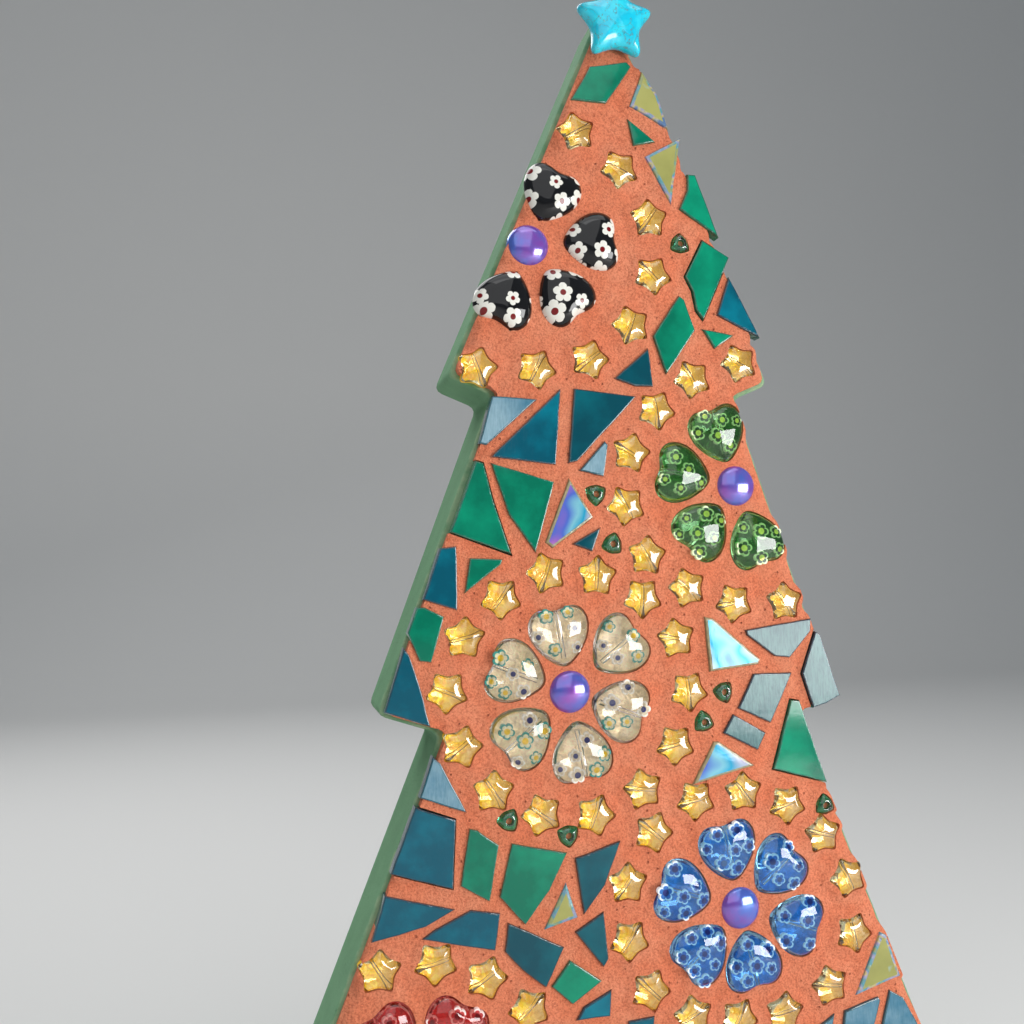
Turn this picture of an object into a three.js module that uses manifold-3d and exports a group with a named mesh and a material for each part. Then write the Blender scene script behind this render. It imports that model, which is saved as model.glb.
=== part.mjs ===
// Christmas tree mosaic panel, millimetres, +Z up.
// The front faces -Y and the flat back lies on y = 0. The origin is on the back face,
// on the tree's axis, at half the panel's height.
import * as THREE from 'three';
import { mergeVertices } from 'three/addons/utils/BufferGeometryUtils.js';
import Module from 'manifold-3d';

const wasm = await Module();
wasm.setup();

// Driving dimensions
const boardThickness = 22;
const tipRadius = 2.4;
const groutThickness = 3.2;
const groutInset = 1.2;
const clearance = 0.3;
const fusedDepth = 1;

const heart = { width: 14.6, length: 17, sides: 14, rim: 3.6, shoulder: 5.4, crown: 6.4 };
const disc = { radius: 5.1, sides: 20, rim: 3.8, crown: 5.4 };
const star = { tip: 5.3, waist: 3.3, rim: 4.3, crown: 5.2 };
const chip = { corner: 2.9, side: 2.2, rim: 4.0, crown: 4.9 };
const topper = { x: 0.8, z: 162.4, tip: 11.4, waist: 6.4, turn: 91, base: 3.4, rim: 7.6, crown: 9.2 };

// Sheet glass stocks: thickness and colour
const glass = {
  green: { thickness: 4.0, color: 0x12805a },
  teal: { thickness: 4.1, color: 0x0c5a68 },
  deep: { thickness: 4.2, color: 0x0a4450 },
  pale: { thickness: 3.9, color: 0x7fa8b0 },
  grey: { thickness: 4.3, color: 0x8fb0ae },
  olive: { thickness: 4.4, color: 0x8a9a55 },
  pearl: { thickness: 4.6, color: 0xd8e4e8 },
};

// Sawn outline of the three tiers, clockwise from the top as seen from the front
const rightSide = [[18.4, 132], [45.5, 64], [34.8, 59.6], [62.5, -24], [50.6, -28.4], [98.4, -150], [87, -155.6]];
const leftSide = [[-88, -155.6], [-100, -150], [-50, -28.4], [-66, -23], [-34.6, 59.4], [-46.5, 64.3]];
const tiers = [[0, 172], ...rightSide, ...leftSide];
const trunk = { halfWidth: 15, top: -156, foot: -172.5 };

// Flowers: a disc, a ring of hearts pointing at it, and a ring of star beads.
// Hearts and stars that would cross the board's edge are left off.
const flowers = {
  black: { x: -24.4, z: 99.5, hearts: 17.2, heartFrom: 6, stars: 35, starFrom: 15 },
  green: { x: 33.1, z: 35, hearts: 16.7, heartFrom: 48.6, stars: 32.7, starFrom: 9.4 },
  clear: { x: -16, z: -19, hearts: 16.9, heartFrom: 39.3, stars: 32.1, starFrom: 23.3 },
  blue: { x: 30, z: -78.5, hearts: 16.8, heartFrom: 41, stars: 31.6, starFrom: 9.4 },
  red: { x: -56, z: -115, hearts: 17, heartFrom: 62, stars: 31.5, starFrom: 6.5 },
};
const heartMargin = 5;
const starMargin = 4;
// The beads were set by hand: how far each heart sits outside its even ring, in the order laid
const heartDrift = {
  black: [1.5, -0.5, 0, 0],
  green: [-0.5, 0.5, 0, 0],
  clear: [1.5, -1, -0.5, 0.5, 0, -1.5],
  blue: [-1, 0, 1.5, -0.5, -1.5, 1],
  red: [0, 0.5, -0.5, 0, 0.5, -0.5],
};
// The same for the stars, with the turn of each in degrees first
const starDrift = {
  black: [[20, 0.5], [47, -0.5], [30, 0], [4, 1.5], [63, -1.5], [2, -0.5], [35, 0], [61, 0.5]],
  green: [[40, 1.5], [45, -1], [63, -2], [4, -1], [45, 0], [12, 0], [33, -1], [46, -0.5], [20, 2]],
  clear: [
    [26, 0.5], [52, -0.5], [13, -1], [35, -0.5], [52, -1.5], [13, -0.5], [50, 0.5],
    [1, -0.5], [14, 0], [36, 0], [67, 0.5], [29, 0.5], [50, 0.5], [59, 1],
  ],
  blue: [
    [40, 1], [22, -1], [55, -1.5], [19, -1], [50, 0], [67, 1], [15, 1.5],
    [52, 0.5], [64, 0.5], [25, -1.5], [60, -3], [10, -1], [30, 2.5], [65, 3],
  ],
  red: [
    [29, 0], [40, 0.5], [69, -1], [50, -0.5], [15, 0.5], [62, 0], [33, 0.5], [5, -0.5],
    [47, 0], [20, 0.5], [58, 0],
  ],
};

// Small three-sided emerald beads: x, z, turn
const chips = [
  [18.7, 102, 90], [-7.6, 32.7, 30], [-3.3, 19.4, 75], [27.1, -21, 50], [21, -28.7, 100],
  [55.9, -53.1, 95], [-33.3, -50.7, 60], [-17.6, -55.6, 35],
];

// Nipped glass: stock, then the corners of each piece, x and z
const tiles = [
  ['green', [-11.7, 140.4], [-6, 150.2], [4.6, 152.6], [6, 151.2], [-1.5, 140.4]],
  ['olive', [9, 150.5], [13.5, 144], [16.5, 134], [5, 140]],
  ['green', [4.5, 136.5], [12.5, 130.5], [6, 129]],
  ['olive', [20, 132.5], [16.5, 112.5], [9, 126]],
  ['green', [21.5, 122], [24, 122], [30.5, 104.5], [19, 112], [21.5, 117.5]],
  ['green', [25.5, 103.5], [33.4, 99], [25, 81], [23, 83.5], [22, 89], [20, 93]],
  ['teal', [33, 93.5], [41.8, 76.5], [29, 82.5]],
  ['green', [18, 87.5], [19.5, 86.5], [22.5, 78], [13.5, 65.5], [10, 76]],
  ['green', [24.5, 78.5], [34, 77], [28, 73]],
  ['deep', [8.5, 72.5], [9.5, 62], [4.5, 62], [-1.5, 64]],
  ['pale', [-35.4, 58.6], [-23, 58], [-37, 45.5], [-39, 46]],
  ['teal', [-16.5, 61], [-18.5, 40.5], [-36, 42.5]],
  ['deep', [-13, 61], [4.6, 59.2], [-12.5, 41.5], [-15, 41]],
  ['pale', [-4.6, 47], [-3.8, 46], [-5.2, 37.5], [-12, 39]],
  ['green', [-40, 41.5], [-38, 41], [-35.5, 31], [-31, 17], [-47, 23]],
  ['green', [-36, 41], [-19, 36], [-24.5, 17.5], [-31.5, 27.5]],
  ['pearl', [-15, 37], [-8.5, 26.5], [-20, 18.5], [-22, 20]],
  ['deep', [-6.5, 24], [-9, 17.5], [-14.5, 19.5]],
  ['teal', [-49.8, 19], [-45.5, 19.5], [-45.5, 3], [-54.4, 6]],
  ['green', [-42, 16.4], [-33.4, 15.9], [-33.9, 14.6], [-43.6, 7.2]],
  ['green', [-56, 4], [-54, 4], [-49, 1.5], [-52.5, -10], [-55.5, -9.5], [-58.5, -2.5]],
  ['teal', [-59.4, -6], [-58, -8], [-55.3, -16.5], [-53, -26], [-64.6, -22]],
  ['pale', [-52.5, -33.4], [-50.5, -35.5], [-44, -48], [-56, -43.5]],
  ['teal', [-57.2, -45.6], [-47, -49.5], [-48, -66.5], [-63.5, -61.5]],
  ['green', [-43.5, -52], [-41.5, -52.5], [-36, -56.5], [-38.5, -70.5], [-46, -66]],
  ['green', [-32.5, -56.5], [-18, -60], [-23, -69], [-29.5, -77], [-36, -69.5]],
  ['deep', [-16, -61.5], [-3.4, -58], [-8.2, -69], [-14, -76]],
  ['olive', [-18.5, -67], [-15.5, -76.5], [-25, -79]],
  ['deep', [-8.5, -75.7], [-7.6, -87.6], [-9, -89.6], [-16.5, -80]],
  ['teal', [-65, -66.5], [-47.5, -71.5], [-55, -75], [-68.5, -77.5]],
  ['teal', [-43.5, -72], [-36, -73.5], [-37.5, -82.5], [-56, -78], [-53, -76]],
  ['deep', [-34, -76], [-19.5, -83.5], [-24.5, -93], [-30.5, -88], [-35, -83]],
  ['green', [-18, -87], [-9.5, -93], [-17.5, -98], [-23, -93]],
  ['teal', [-7, -95.5], [-7.5, -102], [-16.5, -102], [-14.5, -99]],
  ['teal', [4.5, -103.5], [3.5, -110.5], [-4, -109.5], [-2.5, -104]],
  ['pearl', [22, -0.5], [24.5, -1], [38, -12.5], [37.5, -14], [23, -15.5]],
  ['grey', [34, -4.5], [54, -2], [53.5, -5.5], [47, -12.5], [42.5, -12], [34.5, -6]],
  ['grey', [55, -5.5], [56.5, -6.5], [61.8, -23.5], [57.5, -25.5], [53.5, -26.5], [50.5, -17]],
  ['grey', [36, -16.5], [47.5, -16.5], [40.5, -30], [31, -25.5]],
  ['grey', [29.5, -27], [39, -32.5], [36.5, -37], [26.5, -32]],
  ['green', [47, -24], [49.5, -24.5], [57, -47], [41, -42.5]],
  ['pearl', [23.5, -34], [25, -34], [35.5, -41], [17, -45]],
  ['olive', [71, -88.5], [73, -89.5], [77, -101], [62.5, -105]],
  ['pale', [70, -106], [70.5, -107], [67.5, -116], [58.5, -114.5], [59.5, -108.5]],
  ['pale', [73.5, -104.5], [77.6, -107], [84, -119], [69.5, -117.5]],
  ['pale', [56.5, -109], [55, -114.5], [50, -112.5]],
  // the foot of the tree
  ['teal', [-16, -111], [-5, -114], [-4, -127], [-17, -124]],
  ['green', [-2, -114], [12, -117], [10, -130], [-1, -127]],
  ['pearl', [15, -118], [27, -119], [22, -131], [13, -130]],
  ['deep', [30, -119], [45, -117.5], [42, -131], [25, -132]],
  ['green', [48, -117], [62, -118], [59, -131], [45, -131]],
  ['teal', [65, -119.5], [82, -121.5], [79, -132], [62, -131]],
  ['olive', [85.5, -122], [87.4, -124], [91, -134], [82, -133.5]],
  ['deep', [-26, -139], [-19, -134], [-20, -151], [-31, -151]],
  ['green', [-14, -128], [-4, -130], [-6, -151], [-17, -151]],
  ['teal', [-1, -131], [12, -133.5], [8, -151], [-3, -151]],
  ['green', [15, -134], [24, -135], [29, -151], [11, -151]],
  ['pale', [27, -135.5], [42, -134.5], [41, -151], [32, -151]],
  ['teal', [45, -134.5], [59, -134.5], [62, -151], [44, -151]],
  ['green', [62, -134.5], [73, -135.5], [79, -150.5], [65, -151]],
  ['deep', [76, -136], [91, -137.5], [94.8, -147.6], [82, -150.5]],
  ['green', [-92.6, -139], [-84, -141], [-81, -151], [-95.5, -149]],
];
const separateTiles = 26;

const finishes = {
  paint: { color: 0x738f73, roughness: 0.55, metalness: 0 },
  grout: { color: 0xd97b52, roughness: 0.95, metalness: 0 },
  black: { color: 0x0b0b0d, roughness: 0.08, metalness: 0 },
  green: { color: 0x1d5a24, roughness: 0.08, metalness: 0 },
  clear: { color: 0xd8d2c0, roughness: 0.05, metalness: 0 },
  blue: { color: 0x0f5d9c, roughness: 0.08, metalness: 0 },
  red: { color: 0x8e1014, roughness: 0.08, metalness: 0 },
  disc: { color: 0x6a4fb0, roughness: 0.15, metalness: 0.5 },
  topper: { color: 0x2fb9cf, roughness: 0.35, metalness: 0 },
};

const radians = THREE.MathUtils.degToRad;

// Corners moved outwards by a distance; they run counter-clockwise seen from the front.
function grow(corners, distance) {
  const count = corners.length;
  const moved = [];
  for (let i = 0; i < count; i++) {
    const before = corners[(i + count - 1) % count];
    const here = corners[i];
    const after = corners[(i + 1) % count];
    const a = here.clone().sub(before).normalize();
    const b = after.clone().sub(here).normalize();
    const bisector = new THREE.Vector2(a.y + b.y, -a.x - b.x);
    const reach = distance / (1 + a.dot(b));
    moved.push(here.clone().addScaledVector(bisector, reach));
  }
  return moved;
}

function counterClockwise(pairs) {
  const corners = pairs.map(([x, z]) => new THREE.Vector2(x, z));
  return THREE.ShapeUtils.isClockWise(corners) ? corners.reverse() : corners;
}

// An outline with its corners rounded off
function rounded(corners, radius) {
  const shape = new THREE.Shape();
  const count = corners.length;
  for (let i = 0; i < count; i++) {
    const before = corners[(i + count - 1) % count];
    const here = corners[i];
    const after = corners[(i + 1) % count];
    const into = before.clone().sub(here).setLength(radius).add(here);
    const out = after.clone().sub(here).setLength(radius).add(here);
    if (i === 0) shape.moveTo(into.x, into.y);
    else shape.lineTo(into.x, into.y);
    shape.quadraticCurveTo(here.x, here.y, out.x, out.y);
  }
  shape.closePath();
  return shape;
}

// A plate that lies against the board's layers: from and to are depths in front of the back
function slab(shape, from, to) {
  const geometry = new THREE.ExtrudeGeometry(shape, { depth: to - from, bevelEnabled: false, curveSegments: 3 });
  geometry.rotateX(Math.PI / 2);
  geometry.translate(0, -from, 0);
  return geometry;
}

// A crowned bead: a turned profile whose rings follow the outline instead of a circle.
// The profile gives share of the outline's radius and depth in front of the back.
function domed(outline, profile) {
  const count = outline.length;
  const rings = profile.length;
  const centre = new THREE.Vector2();
  for (const point of outline) centre.addScaledVector(point, 1 / count);
  const geometry = new THREE.LatheGeometry(profile.map(([share, depth]) => new THREE.Vector2(share, depth)), count);
  const position = geometry.attributes.position;
  for (let i = 0; i < position.count; i++) {
    const point = outline[Math.floor(i / rings) % count];
    const [share, depth] = profile[i % rings];
    const x = THREE.MathUtils.lerp(centre.x, point.x, share);
    const z = THREE.MathUtils.lerp(centre.y, point.y, share);
    position.setXYZ(i, x, -depth, z);
  }
  return geometry;
}

function placed(outline, x, z, turn) {
  const origin = new THREE.Vector2();
  return outline.map((point) => point.clone().rotateAround(origin, radians(turn)).add(new THREE.Vector2(x, z)));
}

// Heart with its tip towards +X and its cleft towards -X
function heartOutline() {
  const points = [];
  for (let i = 0; i < heart.sides; i++) {
    const t = (2 * Math.PI * i) / heart.sides;
    const across = 0.42 * Math.sin(t) + 0.58 * Math.sin(t) ** 3;
    const along = 0.44 * Math.cos(t) - 0.13 * Math.cos(2 * t) - 0.055 * Math.cos(3 * t) - 0.012 * Math.cos(4 * t);
    points.push(new THREE.Vector2(-heart.length * along, -0.5 * heart.width * across));
  }
  return points;
}

// Ring of equal sectors whose radius alternates between two values
function pointed(points, outer, inner) {
  const outline = [];
  for (let i = 0; i < 2 * points; i++) {
    const angle = (Math.PI * i) / points;
    const radius = i % 2 ? inner : outer;
    outline.push(new THREE.Vector2(radius * Math.cos(angle), radius * Math.sin(angle)));
  }
  return outline;
}

function round(radius, sides) {
  return pointed(sides / 2, radius, radius);
}

// Shortest distance inside the tiers; negative outside
function insideBy(x, z, corners) {
  const point = new THREE.Vector3(x, z, 0);
  const nearest = new THREE.Vector3();
  let least = Infinity;
  let inside = false;
  for (let i = 0; i < corners.length; i++) {
    const a = corners[i];
    const b = corners[(i + 1) % corners.length];
    const edge = new THREE.Line3(new THREE.Vector3(a.x, a.y, 0), new THREE.Vector3(b.x, b.y, 0));
    edge.closestPointToPoint(point, true, nearest);
    least = Math.min(least, nearest.distanceTo(point));
    const crosses = a.y > z !== b.y > z;
    if (crosses && x < a.x + ((z - a.y) * (b.x - a.x)) / (b.y - a.y)) inside = !inside;
  }
  return inside ? least : -least;
}

function toSolid(geometry) {
  const bare = geometry.clone();
  bare.deleteAttribute('normal');
  bare.deleteAttribute('uv');
  const merged = mergeVertices(bare, 1e-4);
  const faces = [];
  for (let i = 0; i < merged.index.count; i += 3) {
    const face = [0, 1, 2].map((k) => merged.index.getX(i + k));
    if (new Set(face).size === 3) faces.push(...face);
  }
  const vertProperties = new Float32Array(merged.attributes.position.array);
  const mesh = new wasm.Mesh({ numProp: 3, vertProperties, triVerts: new Uint32Array(faces) });
  return new wasm.Manifold(mesh);
}

function fromSolid(solid) {
  const mesh = solid.getMesh();
  const geometry = new THREE.BufferGeometry();
  geometry.setAttribute('position', new THREE.BufferAttribute(new Float32Array(mesh.vertProperties), 3));
  geometry.setIndex(new THREE.BufferAttribute(new Uint32Array(mesh.triVerts), 1));
  geometry.computeVertexNormals();
  return geometry;
}

const group = new THREE.Group();

function addPiece(name, geometry, finish) {
  const mesh = new THREE.Mesh(geometry, new THREE.MeshStandardMaterial(finish));
  mesh.name = name;
  group.add(mesh);
}

const face = boardThickness;
const edge = counterClockwise(tiers);

function boardGeometry() {
  const { halfWidth, top, foot } = trunk;
  const stub = [[halfWidth, top], [halfWidth, foot], [-halfWidth, foot], [-halfWidth, top]];
  const corners = counterClockwise([[0, 172], ...rightSide, ...stub, ...leftSide]);
  return slab(rounded(corners, tipRadius), 0, boardThickness);
}

function around(flower, radius, angle) {
  return new THREE.Vector2(flower.x + radius * Math.cos(radians(angle)), flower.z + radius * Math.sin(radians(angle)));
}

// The places of an even ring that lie inside the board, each with its entry in the drift list
function laid(flower, radius, from, count, margin, drifts) {
  const angles = [];
  for (let i = 0; i < count; i++) {
    const angle = from + (360 / count) * i;
    const spot = around(flower, radius, angle);
    if (insideBy(spot.x, spot.y, edge) > margin) angles.push(angle);
  }
  return angles.map((angle, i) => [drifts[i], angle]);
}

// Every bead of the five flowers, with its outline on the panel
function flowerBeads() {
  const beads = [];
  for (const [colour, flower] of Object.entries(flowers)) {
    const { x, z } = flower;
    beads.push({ kind: 'disc', colour, outline: placed(round(disc.radius, disc.sides), x, z, 0) });
    for (const [drift, angle] of laid(flower, flower.hearts, flower.heartFrom, 6, heartMargin, heartDrift[colour])) {
      const spot = around(flower, flower.hearts + drift, angle);
      beads.push({ kind: 'heart', colour, outline: placed(heartOutline(), spot.x, spot.y, angle + 180) });
    }
    for (const [[turn, drift], angle] of laid(flower, flower.stars, flower.starFrom, 14, starMargin, starDrift[colour])) {
      const spot = around(flower, flower.stars + drift, angle);
      beads.push({ kind: 'star', colour, outline: placed(pointed(5, star.tip, star.waist), spot.x, spot.y, turn) });
    }
  }
  return beads;
}

function area(corners) {
  return Math.abs(THREE.ShapeUtils.area(corners));
}

const beads = flowerBeads();
const cutTiles = tiles.map(([stock, ...corners]) => ({ stock, outline: counterClockwise(corners) }));
const bySize = [...cutTiles].sort((a, b) => area(b.outline) - area(a.outline));
const largeTiles = new Set(bySize.slice(0, separateTiles));

const groutFront = face + groutThickness;
const fusedBack = groutFront - fusedDepth;
let bed = toSolid(slab(rounded(grow(edge, -groutInset), tipRadius), face, groutFront));

// Cuts room for a piece that stands in the grout on the board
function pocket(outline) {
  bed = bed.subtract(toSolid(slab(new THREE.Shape(grow(outline, clearance)), face - 1, groutFront + 1)));
}

addPiece('board', boardGeometry(), finishes.paint);

const counts = {};
for (const { kind, colour, outline } of beads) {
  if (kind === 'star') {
    const profile = [[0, fusedBack], [1, fusedBack], [1, face + star.rim], [0, face + star.crown]];
    bed = bed.add(toSolid(domed(outline, profile)));
    continue;
  }
  pocket(outline);
  if (kind === 'disc') {
    const profile = [[0, face], [1, face], [1, face + disc.rim], [0.72, face + disc.crown - 0.4], [0, face + disc.crown]];
    addPiece(`disc_${colour}`, domed(outline, profile), finishes.disc);
    continue;
  }
  counts[colour] = (counts[colour] ?? 0) + 1;
  const profile = [[0, face], [1, face], [1, face + heart.rim], [0.7, face + heart.shoulder], [0, face + heart.crown]];
  addPiece(`heart_${colour}_${counts[colour]}`, domed(outline, profile), finishes[colour]);
}

for (const [x, z, turn] of chips) {
  const outline = placed(pointed(3, chip.corner, chip.side), x, z, turn);
  const profile = [[0, fusedBack], [1, fusedBack], [1, face + chip.rim], [0, face + chip.crown]];
  bed = bed.add(toSolid(domed(outline, profile)));
}

let tileNumber = 0;
for (const tile of cutTiles) {
  const stock = glass[tile.stock];
  const front = face + stock.thickness;
  const shape = new THREE.Shape(tile.outline);
  if (largeTiles.has(tile)) {
    tileNumber++;
    pocket(tile.outline);
    const finish = { color: stock.color, roughness: 0.08, metalness: 0 };
    addPiece(`tile_${tile.stock}_${tileNumber}`, slab(shape, face, front), finish);
  } else {
    bed = bed.add(toSolid(slab(shape, fusedBack, front)));
  }
}

const topperOutline = placed(pointed(5, topper.tip, topper.waist), topper.x, topper.z, topper.turn);
const topperProfile = [
  [0, face + topper.base], [1, face + topper.base], [1, face + topper.rim], [0.6, face + topper.crown - 0.5],
  [0, face + topper.crown],
];
addPiece('star_topper', domed(topperOutline, topperProfile), finishes.topper);
addPiece('grout_bed', fromSolid(bed), finishes.grout);

export default group;
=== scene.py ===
import math
import random
import bpy
import bmesh
from mathutils import Matrix, Vector, kdtree, noise


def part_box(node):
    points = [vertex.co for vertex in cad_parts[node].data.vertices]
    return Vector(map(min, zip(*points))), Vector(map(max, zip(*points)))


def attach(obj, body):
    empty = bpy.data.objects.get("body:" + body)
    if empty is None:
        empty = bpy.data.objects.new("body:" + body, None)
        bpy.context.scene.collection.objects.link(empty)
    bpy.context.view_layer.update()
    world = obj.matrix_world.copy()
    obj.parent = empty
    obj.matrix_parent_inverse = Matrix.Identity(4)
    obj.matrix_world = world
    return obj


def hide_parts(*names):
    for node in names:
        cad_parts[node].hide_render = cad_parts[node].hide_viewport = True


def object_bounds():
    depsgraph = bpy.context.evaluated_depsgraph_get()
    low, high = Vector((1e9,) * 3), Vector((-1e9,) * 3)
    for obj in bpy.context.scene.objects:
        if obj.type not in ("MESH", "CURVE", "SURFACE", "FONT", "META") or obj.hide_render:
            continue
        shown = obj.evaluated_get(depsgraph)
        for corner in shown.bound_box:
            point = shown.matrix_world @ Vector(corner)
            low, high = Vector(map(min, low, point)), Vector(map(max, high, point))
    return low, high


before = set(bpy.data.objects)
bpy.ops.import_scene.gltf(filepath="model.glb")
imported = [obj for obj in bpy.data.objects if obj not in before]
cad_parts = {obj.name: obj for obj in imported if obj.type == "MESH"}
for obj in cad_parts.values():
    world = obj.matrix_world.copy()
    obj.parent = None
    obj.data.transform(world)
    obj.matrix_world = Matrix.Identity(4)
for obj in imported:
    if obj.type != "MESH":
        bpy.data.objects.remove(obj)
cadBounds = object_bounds()
draw = random.Random(11)
mm = 0.001
print("frame loaded:", len(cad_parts), "nodes")


# the camera and the lights

cameraSet = {
    "place": (-0.0931, -0.2846, 0.0105),
    "forward": (0.234, 0.970, 0.066),
    "up": (0.006, -0.069, 0.998),
    "lens": 36.04,
    "sensor": 36,
    "clip": (0.01, 20),
}
lightSet = {
    "window": {"place": (0.50, -0.58, 0.0), "size": (0.46, 0.26), "power": 4.0},
    "skyFill": {"place": (-0.4, -1.5, 1.2), "size": (2.2, 2.2), "power": 13},
    "topFill": {"place": (0.1, -0.25, 1.3), "size": (1.0, 1.0), "power": 4},
    "backFill": {"place": (-0.4, 0.6, 0.9), "size": (0.8, 0.8), "power": 6},
}
worldSet = {"colour": (0.80, 0.90, 1.0), "strength": 0.20}
stageSet = {
    "colour": (0.78, 0.77, 0.75),
    "half": 4.0,               # half the width of the paper, m
    "wall": 1.3,               # where the paper begins to turn up, m behind the object
    "sweep": 0.6,              # radius of that turn
    "rise": 1.6,               # height of the flat part above it
}


def turned(forward, up):
    back = -Vector(forward).normalized()
    right = Vector(up).cross(back).normalized()
    return Matrix((right, back.cross(right), back)).transposed().to_4x4()


def makeCamera():
    data = bpy.data.cameras.new("camera")
    camera = bpy.data.objects.new("camera", data)
    bpy.context.collection.objects.link(camera)
    data.lens = cameraSet["lens"]
    data.sensor_width = cameraSet["sensor"]
    data.clip_start, data.clip_end = cameraSet["clip"]
    turn = turned(cameraSet["forward"], cameraSet["up"])
    camera.matrix_world = Matrix.Translation(Vector(cameraSet["place"])) @ turn
    bpy.context.scene.camera = camera


def makeLights():
    for name, values in lightSet.items():
        data = bpy.data.lights.new(name, "AREA")
        data.shape = "RECTANGLE"
        data.size, data.size_y = values["size"]
        data.energy = values["power"]
        light = bpy.data.objects.new(name, data)
        bpy.context.collection.objects.link(light)
        place = Vector(values["place"])
        light.matrix_world = Matrix.Translation(place) @ turned(-place, (0, 0, 1))
    world = bpy.data.worlds.new("studio")
    world.use_nodes = True
    sky = world.node_tree.nodes["Background"]
    sky.inputs["Color"].default_value = (*worldSet["colour"], 1)
    sky.inputs["Strength"].default_value = worldSet["strength"]
    bpy.context.scene.world = world
    bpy.context.scene.view_settings.view_transform = "Standard"


def makeStage():
    floorZ = cadBounds[0][2]
    bm = bmesh.new()
    bmesh.ops.create_grid(bm, x_segments=1, y_segments=1, size=stageSet["half"])
    bmesh.ops.translate(bm, verts=bm.verts, vec=(0, stageSet["wall"] - stageSet["half"], floorZ))
    farEdge = [e for e in bm.edges if all(v.co.y > stageSet["wall"] - 0.01 for v in e.verts)]
    centre = (0, stageSet["wall"], floorZ + stageSet["sweep"])
    swept = bmesh.ops.spin(bm, geom=farEdge, cent=centre, axis=(1, 0, 0), angle=math.radians(90), steps=12)
    lastEdges = [g for g in swept["geom_last"] if isinstance(g, bmesh.types.BMEdge)]
    raised = bmesh.ops.extrude_edge_only(bm, edges=lastEdges)["geom"]
    raisedVerts = [g for g in raised if isinstance(g, bmesh.types.BMVert)]
    bmesh.ops.translate(bm, verts=raisedVerts, vec=(0, 0, stageSet["rise"]))
    material = newMaterial("studio_paper", Base_Color=(*stageSet["colour"], 1), Roughness=0.9)[0]
    mesh = bpy.data.meshes.new("floor")
    bm.to_mesh(mesh)
    bm.free()
    mesh.materials.append(material)
    mesh.polygons.foreach_set("use_smooth", [True] * len(mesh.polygons))
    floor = bpy.data.objects.new("floor", mesh)
    bpy.context.collection.objects.link(floor)


# small helpers for nodes and meshes

def tint(red, green, blue):      # a screen colour, 0 to 255, as linear light
    return tuple(((c / 255 + 0.055) / 1.055) ** 2.4 if c > 10 else c / 3294 for c in (red, green, blue))


def addNode(tree, kind, inputs=None, **settings):
    made = tree.nodes.new(kind)
    for key, value in settings.items():
        setattr(made, key, value)
    for key, value in (inputs or {}).items():
        if isinstance(value, bpy.types.NodeSocket):
            tree.links.new(value, made.inputs[key])
        else:
            made.inputs[key].default_value = value
    return made


def newMaterial(name, **values):
    material = bpy.data.materials.new(name)
    material.use_nodes = True
    tree = material.node_tree
    shader = tree.nodes["Principled BSDF"]
    for key, value in values.items():
        shader.inputs[key.replace("_", " ")].default_value = value
    return material, tree, shader


def objectMm(tree, scale=(1, 1, 1)):
    place = addNode(tree, "ShaderNodeTexCoord").outputs["Object"]
    mapping = addNode(tree, "ShaderNodeMapping", {"Vector": place})
    mapping.inputs["Scale"].default_value = [1000 * s for s in scale]
    return mapping.outputs["Vector"]


def cloud(tree, vector, size, detail=3.0, rough=0.5):
    inputs = {"Vector": vector, "Scale": 1 / size, "Detail": detail, "Roughness": rough}
    return addNode(tree, "ShaderNodeTexNoise", inputs).outputs["Fac"]


def sums(tree, operation, a, b=0.0, clamp=False):
    return addNode(tree, "ShaderNodeMath", {0: a, 1: b}, operation=operation, use_clamp=clamp).outputs[0]


def spread(tree, value, low, high, outLow=0.0, outHigh=1.0):
    inputs = {"Value": value, "From Min": low, "From Max": high, "To Min": outLow, "To Max": outHigh}
    return addNode(tree, "ShaderNodeMapRange", inputs).outputs["Result"]


def blendColours(tree, factor, a, b):
    made = addNode(tree, "ShaderNodeMix", data_type="RGBA")
    for index, value in ((0, factor), (6, a), (7, b)):
        if isinstance(value, bpy.types.NodeSocket):
            tree.links.new(value, made.inputs[index])
        else:
            made.inputs[index].default_value = value if index == 0 else (*value, 1)
    return made.outputs[2]


def ramp(tree, factor, stops):
    made = addNode(tree, "ShaderNodeValToRGB", {"Fac": factor})
    band = made.color_ramp
    while len(band.elements) < len(stops):
        band.elements.new(0.5)
    for element, (place, colour) in zip(band.elements, stops):
        element.position = place
        element.color = (*tint(*colour), 1)
    return made.outputs["Color"]


def bumpFrom(tree, shader, height, depth):
    made = addNode(tree, "ShaderNodeBump", {"Height": height, "Distance": depth * mm, "Strength": 1.0})
    tree.links.new(made.outputs["Normal"], shader.inputs["Normal"])
    return made.outputs["Normal"]


def addPiece(name, bm, materials, replaced=(), sharpFrom=40, flatTop=False):
    bmesh.ops.recalc_face_normals(bm, faces=bm.faces)
    mesh = bpy.data.meshes.new(name)
    bm.to_mesh(mesh)
    bm.free()
    for material in materials:
        mesh.materials.append(material)
    mesh.polygons.foreach_set("use_smooth", [True] * len(mesh.polygons))
    mesh.set_sharp_from_angle(angle=math.radians(sharpFrom))
    piece = bpy.data.objects.new(name, mesh)
    bpy.context.collection.objects.link(piece)
    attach(piece, "root")
    if replaced:
        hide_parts(*replaced)
    if flatTop:
        piece.modifiers.new("flat_faces", "WEIGHTED_NORMAL").keep_sharp = True
    return piece


def at(point, depth):
    return Vector((point.x, -depth * mm, point.y))      # depth in mm in front of the back


def outlineFace(bm, points, depth):
    return bm.faces.new([bm.verts.new(at(p, depth)) for p in points])


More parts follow.
